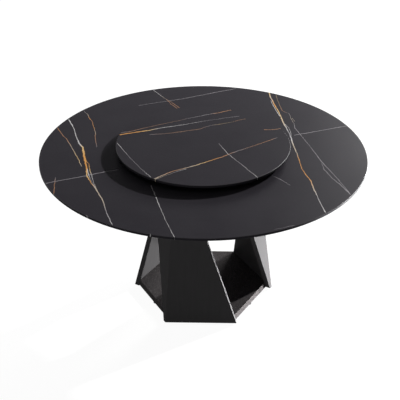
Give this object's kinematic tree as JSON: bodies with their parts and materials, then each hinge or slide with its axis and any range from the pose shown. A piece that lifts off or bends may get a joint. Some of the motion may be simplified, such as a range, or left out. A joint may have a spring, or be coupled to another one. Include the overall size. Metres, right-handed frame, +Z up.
{
  "type": "dining table with lazy susan",
  "caption": "Round stone-topped dining table with a smaller turntable on a ball bearing, on a twisted hexagonal base of folded steel box legs round a hexagonal board.",
  "frame": {"origin": "on the floor under the middle of the table top", "axes": "+Z up; the fold of leg 2 is towards +X, those of legs 1 and 3 are 120 degrees to either side, and the front, seen in the picture, looks towards -Y"},
  "size_m": [1.4998, 1.4998, 0.813],
  "materials": {
    "stone": "satin",
    "coated_steel": "satin",
    "board": "matte",
    "brass_insert": "satin",
    "zinc_steel": "satin",
    "black_screw": "satin",
    "silicone": "satin",
    "ring_aluminium": "satin",
    "ball_steel": "polished",
    "cage_plastic": "matte",
    "foot_plastic": "matte"
  },
  "bodies": {
    "table_base": {"base_board": "board", "bearing_outer_ring": "ring_aluminium", "board_inserts": "zinc_steel", "board_screws": "black_screw", "foot_nuts": "zinc_steel", "leg_1_bottom_plate": "coated_steel", "leg_1_inner_skin": "coated_steel", "leg_1_outer_skin": "coated_steel", "leg_1_ribs": "coated_steel", "leg_1_top_plate": "coated_steel", "leg_2_bottom_plate": "coated_steel", "leg_2_inner_skin": "coated_steel", "leg_2_outer_skin": "coated_steel", "leg_2_ribs": "coated_steel", "leg_2_top_plate": "coated_steel", "leg_3_bottom_plate": "coated_steel", "leg_3_inner_skin": "coated_steel", "leg_3_outer_skin": "coated_steel", "leg_3_ribs": "coated_steel", "leg_3_top_plate": "coated_steel", "leg_top_bolts": "black_screw", "stone_inserts": "brass_insert", "stone_pads": "silicone", "stone_screws": "black_screw", "susan_lower_pads": "silicone", "table_top": "stone", "top_plate": "coated_steel"},
    "turntable": {"susan_top": "stone", "susan_upper_pads": "silicone", "bearing_inner_ring": "ring_aluminium"},
    "ball_train": {"ball_cage": "cage_plastic", "bearing_balls": "ball_steel"},
    "foot_1": {"foot_1_pad": "foot_plastic", "foot_1_stud": "zinc_steel"},
    "foot_2": {"foot_2_pad": "foot_plastic", "foot_2_stud": "zinc_steel"},
    "foot_3": {"foot_3_pad": "foot_plastic", "foot_3_stud": "zinc_steel"},
    "foot_4": {"foot_4_pad": "foot_plastic", "foot_4_stud": "zinc_steel"},
    "foot_5": {"foot_5_pad": "foot_plastic", "foot_5_stud": "zinc_steel"},
    "foot_6": {"foot_6_pad": "foot_plastic", "foot_6_stud": "zinc_steel"}
  },
  "joints": [
    {"name": "turntable_spin", "type": "hinge", "parent": "table_base", "child": "turntable", "pos_m": [0, 0, 0.788], "axis": [0, 0, 1], "continuous": true},
    {"name": "ball_train_spin", "type": "hinge", "parent": "table_base", "child": "ball_train", "pos_m": [0, 0, 0.788], "axis": [0, 0, 1], "continuous": true},
    {"name": "foot_1_adjust", "type": "slide", "parent": "table_base", "child": "foot_1", "axis": [0, 0, 1], "range_m": [-0.012, 0.0015]},
    {"name": "foot_2_adjust", "type": "slide", "parent": "table_base", "child": "foot_2", "axis": [0, 0, 1], "range_m": [-0.012, 0.0015]},
    {"name": "foot_3_adjust", "type": "slide", "parent": "table_base", "child": "foot_3", "axis": [0, 0, 1], "range_m": [-0.012, 0.0015]},
    {"name": "foot_4_adjust", "type": "slide", "parent": "table_base", "child": "foot_4", "axis": [0, 0, 1], "range_m": [-0.012, 0.0015]},
    {"name": "foot_5_adjust", "type": "slide", "parent": "table_base", "child": "foot_5", "axis": [0, 0, 1], "range_m": [-0.012, 0.0015]},
    {"name": "foot_6_adjust", "type": "slide", "parent": "table_base", "child": "foot_6", "axis": [0, 0, 1], "range_m": [-0.012, 0.0015]}
  ],
  "couplings": [
    {"joint": "ball_train_spin", "follows": "turntable_spin", "ratio": 0.49}
  ]
}
